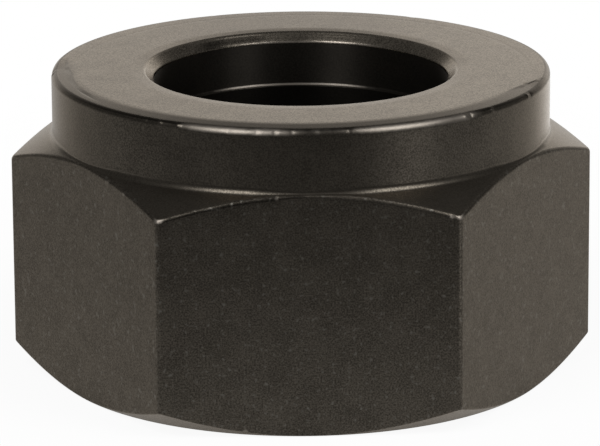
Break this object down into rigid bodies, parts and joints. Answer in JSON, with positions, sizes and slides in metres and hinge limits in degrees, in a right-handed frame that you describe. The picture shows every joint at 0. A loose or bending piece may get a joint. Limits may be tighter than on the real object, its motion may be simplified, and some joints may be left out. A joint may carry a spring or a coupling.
{
  "type": "collet nut",
  "caption": "Hexagon collet nut with a round nose, tapered seat, off-centre extraction lip and internal thread, in black oxide steel.",
  "frame": {"origin": "centre of the back face, where the thread begins, on the nut's axis", "axes": "+Z along the nut's axis from the threaded mouth to the nose, +X through two opposite corners of the hexagon, +Y square to two opposite flats; the high side of the extraction lip is towards -X"},
  "size_m": [0.0346, 0.03, 0.0182],
  "materials": {
    "black_oxide_steel": "black oxide, satin, bead-blasted flats and finely turned nose"
  },
  "bodies": {
    "root": {"collet_nut": "black_oxide_steel"}
  },
  "joints": []
}
